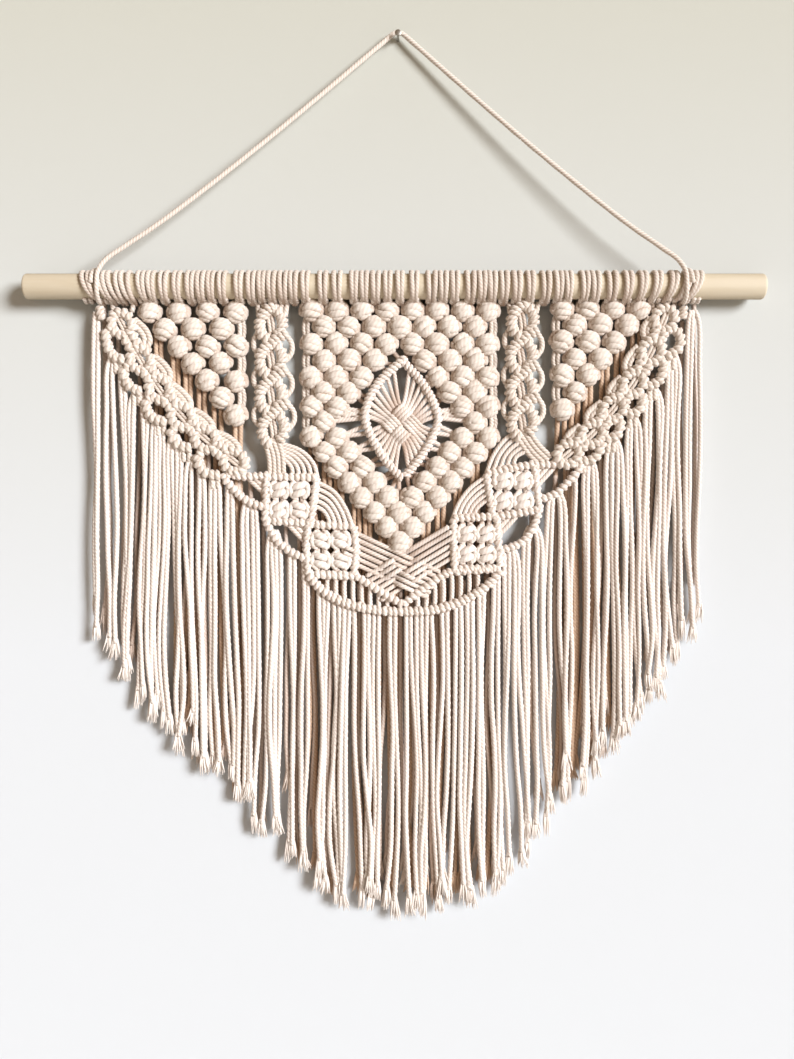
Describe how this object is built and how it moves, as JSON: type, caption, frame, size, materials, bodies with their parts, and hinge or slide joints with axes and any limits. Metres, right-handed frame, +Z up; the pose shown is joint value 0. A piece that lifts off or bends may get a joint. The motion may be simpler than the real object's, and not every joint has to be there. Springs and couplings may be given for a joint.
{
  "type": "macrame wall hanging on a wooden dowel, with its wall nail",
  "caption": "Knotted cotton cord wall hanging: bobble panels, a braided and barred border and a long fringe on a wooden dowel, hung by a cord from a nail in the wall.",
  "frame": {"origin": "on the wall plane, at the middle of the nail's back end, from which the hanging cord and all else hangs", "axes": "+X to the right as seen from the room, +Y into the wall, +Z up; the hanging is on the -Y side of the wall plane"},
  "size_m": [0.65, 0.0326, 0.7822],
  "materials": {
    "cotton": "undyed three-ply twisted cotton cord",
    "birch": "bare sanded birch",
    "steel": "plain bright steel"
  },
  "bodies": {
    "root": {"dowel": "birch", "wall_nail": "steel", "hanging_cord": "cotton", "heading": "cotton", "centre_panel": "cotton", "left_corner_panel": "cotton", "right_corner_panel": "cotton", "knotted_border": "cotton", "fringe_left": "cotton", "fringe_bottom": "cotton", "fringe_right": "cotton", "back_fringe_left": "cotton", "back_fringe_centre": "cotton", "back_fringe_right": "cotton"}
  },
  "joints": []
}
